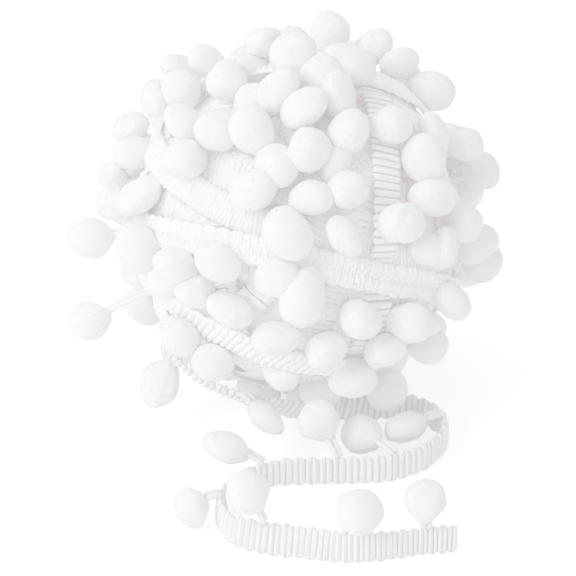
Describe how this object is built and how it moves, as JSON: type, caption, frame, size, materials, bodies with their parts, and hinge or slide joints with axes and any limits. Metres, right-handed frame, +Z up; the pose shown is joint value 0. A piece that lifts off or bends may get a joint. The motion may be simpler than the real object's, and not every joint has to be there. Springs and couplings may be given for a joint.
{
  "type": "pom pom trim",
  "caption": "White pom pom trim wound into a ball: a narrow ribbed band with soft pompoms on thread loops along one edge, its loose end standing in an S in front.",
  "frame": {"origin": "middle of the flat spot under the ball, where it rests on the surface", "axes": "+Z up, the loose end lies in front of the ball towards -Y, +X to the right as seen from the front"},
  "size_m": [0.1042, 0.1264, 0.0986],
  "materials": {
    "pompom_yarn": "matt soft white yarn, closely clipped",
    "band_yarn": "matt white twisted yarn, ribbed across"
  },
  "bodies": {
    "root": {"wound_ball": "pompom_yarn", "tail_band": "band_yarn", "hanging_pompom_1": "pompom_yarn", "hanging_pompom_2": "pompom_yarn", "hanging_pompom_3": "pompom_yarn", "tail_pompom_1": "pompom_yarn", "tail_pompom_2": "pompom_yarn", "tail_pompom_3": "pompom_yarn", "tail_pompom_4": "pompom_yarn", "tail_pompom_5": "pompom_yarn", "tail_pompom_6": "pompom_yarn", "tail_pompom_7": "pompom_yarn", "tail_pompom_8": "pompom_yarn", "tail_pompom_9": "pompom_yarn", "tail_pompom_10": "pompom_yarn"}
  },
  "joints": []
}
